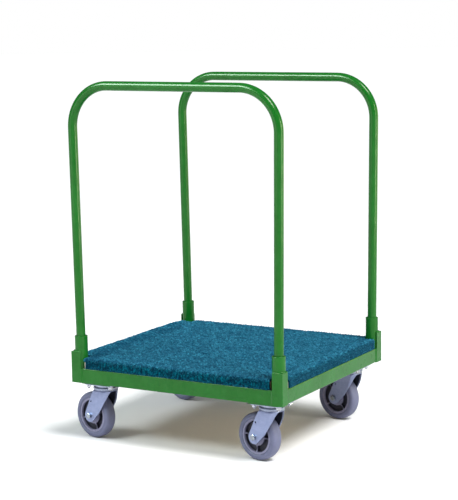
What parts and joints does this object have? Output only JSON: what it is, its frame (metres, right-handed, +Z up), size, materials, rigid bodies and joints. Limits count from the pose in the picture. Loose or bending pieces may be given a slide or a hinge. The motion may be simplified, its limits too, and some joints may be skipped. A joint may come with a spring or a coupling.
{
  "type": "platform trolley",
  "caption": "Carpeted platform trolley: steel frame on swivel casters, with a lift-out tube hoop over each long side to keep the load on the deck.",
  "frame": {"origin": "on the floor, at the centre of the whole trolley's box at rest, wheels included. The steel frame's own centre is 24.3 mm from it along +X, because all four wheels trail towards -X", "axes": "+Z up, +X along the frame's long side and the hoops' bars, +Y across from the front hoop to the back hoop"},
  "size_m": [0.8614, 0.762, 1.2351],
  "materials": {
    "green_paint": "semi-gloss brush-and-spray enamel over welds",
    "teal_carpet": "short dense loop-and-cut pile carpet, matt",
    "plywood": "raw sanded plywood",
    "zinc_plate": "bright zinc plated steel, satin",
    "grey_rubber": "smooth satin grey rubber",
    "grey_nylon": "moulded satin nylon",
    "bearing_bronze": "plain machined bearing bronze"
  },
  "bodies": {
    "frame": {"rail_front": "green_paint", "rail_right": "green_paint", "rail_back": "green_paint", "rail_left": "green_paint", "corner_post_front_left": "green_paint", "hoop_socket_front_left": "green_paint", "caster_pad_front_left": "green_paint", "corner_post_front_right": "green_paint", "hoop_socket_front_right": "green_paint", "caster_pad_front_right": "green_paint", "corner_post_back_right": "green_paint", "hoop_socket_back_right": "green_paint", "caster_pad_back_right": "green_paint", "corner_post_back_left": "green_paint", "hoop_socket_back_left": "green_paint", "caster_pad_back_left": "green_paint", "deck_board": "plywood", "deck_carpet": "teal_carpet", "top_plate_front_left": "zinc_plate", "kingpin_front_left": "zinc_plate", "top_plate_front_right": "zinc_plate", "kingpin_front_right": "zinc_plate", "top_plate_back_right": "zinc_plate", "kingpin_back_right": "zinc_plate", "top_plate_back_left": "zinc_plate", "kingpin_back_left": "zinc_plate"},
    "front_hoop": {"hoop_front": "green_paint"},
    "back_hoop": {"hoop_back": "green_paint"},
    "caster_front_left": {"swivel_bearing_front_left": "zinc_plate", "fork_front_left": "zinc_plate", "axle_bolt_front_left": "zinc_plate", "axle_nut_front_left": "zinc_plate", "axle_bushing_front_left": "zinc_plate"},
    "wheel_front_left": {"wheel_bearing_front_left": "bearing_bronze", "wheel_core_front_left": "grey_nylon", "tyre_front_left": "grey_rubber"},
    "caster_front_right": {"swivel_bearing_front_right": "zinc_plate", "fork_front_right": "zinc_plate", "axle_bolt_front_right": "zinc_plate", "axle_nut_front_right": "zinc_plate", "axle_bushing_front_right": "zinc_plate"},
    "wheel_front_right": {"wheel_bearing_front_right": "bearing_bronze", "wheel_core_front_right": "grey_nylon", "tyre_front_right": "grey_rubber"},
    "caster_back_right": {"swivel_bearing_back_right": "zinc_plate", "fork_back_right": "zinc_plate", "axle_bolt_back_right": "zinc_plate", "axle_nut_back_right": "zinc_plate", "axle_bushing_back_right": "zinc_plate"},
    "wheel_back_right": {"wheel_bearing_back_right": "bearing_bronze", "wheel_core_back_right": "grey_nylon", "tyre_back_right": "grey_rubber"},
    "caster_back_left": {"swivel_bearing_back_left": "zinc_plate", "fork_back_left": "zinc_plate", "axle_bolt_back_left": "zinc_plate", "axle_nut_back_left": "zinc_plate", "axle_bushing_back_left": "zinc_plate"},
    "wheel_back_left": {"wheel_bearing_back_left": "bearing_bronze", "wheel_core_back_left": "grey_nylon", "tyre_back_left": "grey_rubber"}
  },
  "joints": [
    {"name": "front_hoop_lift", "type": "slide", "parent": "frame", "child": "front_hoop", "axis": [0, 0, 1], "range_m": [0, 0.115]},
    {"name": "back_hoop_lift", "type": "slide", "parent": "frame", "child": "back_hoop", "axis": [0, 0, 1], "range_m": [0, 0.115]},
    {"name": "swivel_front_left", "type": "hinge", "parent": "frame", "child": "caster_front_left", "pos_m": [-0.2991, -0.298, 0.19], "axis": [0, 0, 1], "continuous": true},
    {"name": "roll_front_left", "type": "hinge", "parent": "caster_front_left", "child": "wheel_front_left", "pos_m": [-0.35074, -0.28608, 0.08], "axis": [-0.225, -0.9744, 0], "continuous": true},
    {"name": "swivel_front_right", "type": "hinge", "parent": "frame", "child": "caster_front_right", "pos_m": [0.3477, -0.298, 0.19], "axis": [0, 0, 1], "continuous": true},
    {"name": "roll_front_right", "type": "hinge", "parent": "caster_front_right", "child": "wheel_front_right", "pos_m": [0.29606, -0.28608, 0.08], "axis": [-0.225, -0.9744, 0], "continuous": true},
    {"name": "swivel_back_right", "type": "hinge", "parent": "frame", "child": "caster_back_right", "pos_m": [0.3477, 0.298, 0.19], "axis": [0, 0, 1], "continuous": true},
    {"name": "roll_back_right", "type": "hinge", "parent": "caster_back_right", "child": "wheel_back_right", "pos_m": [0.29606, 0.30992, 0.08], "axis": [-0.225, -0.9744, 0], "continuous": true},
    {"name": "swivel_back_left", "type": "hinge", "parent": "frame", "child": "caster_back_left", "pos_m": [-0.2991, 0.298, 0.19], "axis": [0, 0, 1], "continuous": true},
    {"name": "roll_back_left", "type": "hinge", "parent": "caster_back_left", "child": "wheel_back_left", "pos_m": [-0.35074, 0.30992, 0.08], "axis": [-0.225, -0.9744, 0], "continuous": true}
  ]
}
